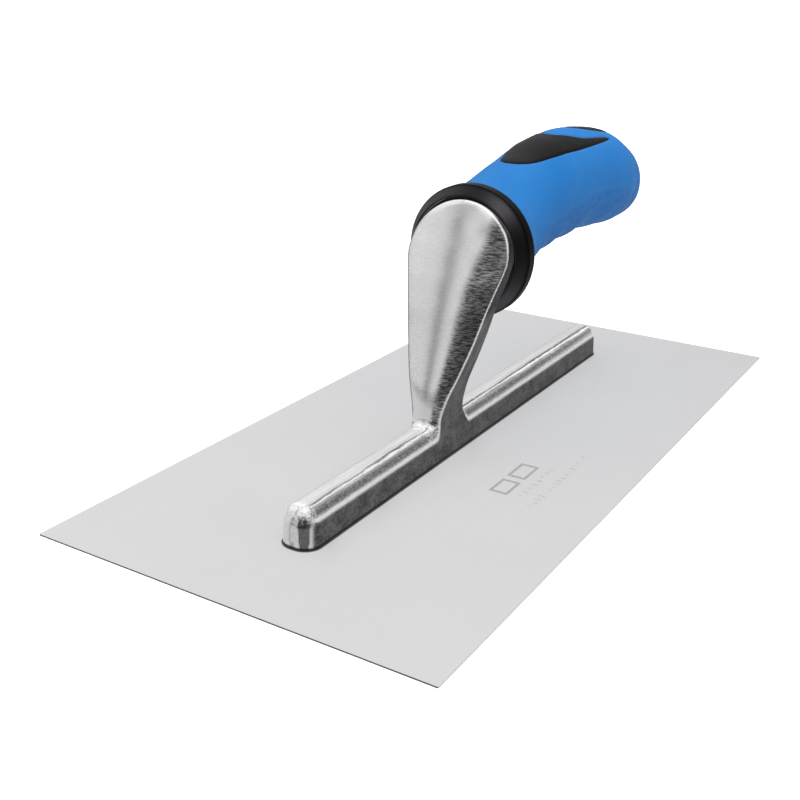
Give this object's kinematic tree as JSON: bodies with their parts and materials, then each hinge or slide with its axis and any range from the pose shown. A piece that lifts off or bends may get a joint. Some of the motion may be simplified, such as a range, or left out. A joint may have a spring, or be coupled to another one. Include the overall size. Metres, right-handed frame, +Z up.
{
  "type": "finishing trowel",
  "caption": "Flat rectangular finishing trowel: thin steel blade riveted to a cast aluminium bar with a leaning post, black collar ring and soft blue grip with black inlays.",
  "frame": {"origin": "centre of the blade's working (bottom) face", "axes": "+X towards the toe, the end the post stands nearer to, with the grip running towards -X; +Y to the left when looking towards the toe; +Z up, away from the work"},
  "size_m": [0.28, 0.135, 0.0996],
  "materials": {
    "blade_steel": "satin ground sheet",
    "rivet_steel": "ground flush",
    "cast_aluminium": "cast, linished on the front face",
    "collar_black": "satin moulded",
    "core_plastic": "moulded",
    "grip_blue": "matte soft-touch",
    "inlay_black": "matte, finely textured",
    "screw_steel": "zinc plated",
    "plug_black": "satin moulded"
  },
  "bodies": {
    "root": {"blade": "blade_steel", "blade_rivets": "rivet_steel", "spine_casting": "cast_aluminium", "collar_ring": "collar_black", "handle_core": "core_plastic", "grip_sleeve": "grip_blue", "palm_inlay": "inlay_black", "rear_inlay": "inlay_black", "retaining_screw": "screw_steel", "retaining_washer": "screw_steel", "end_plug": "plug_black"}
  },
  "joints": []
}
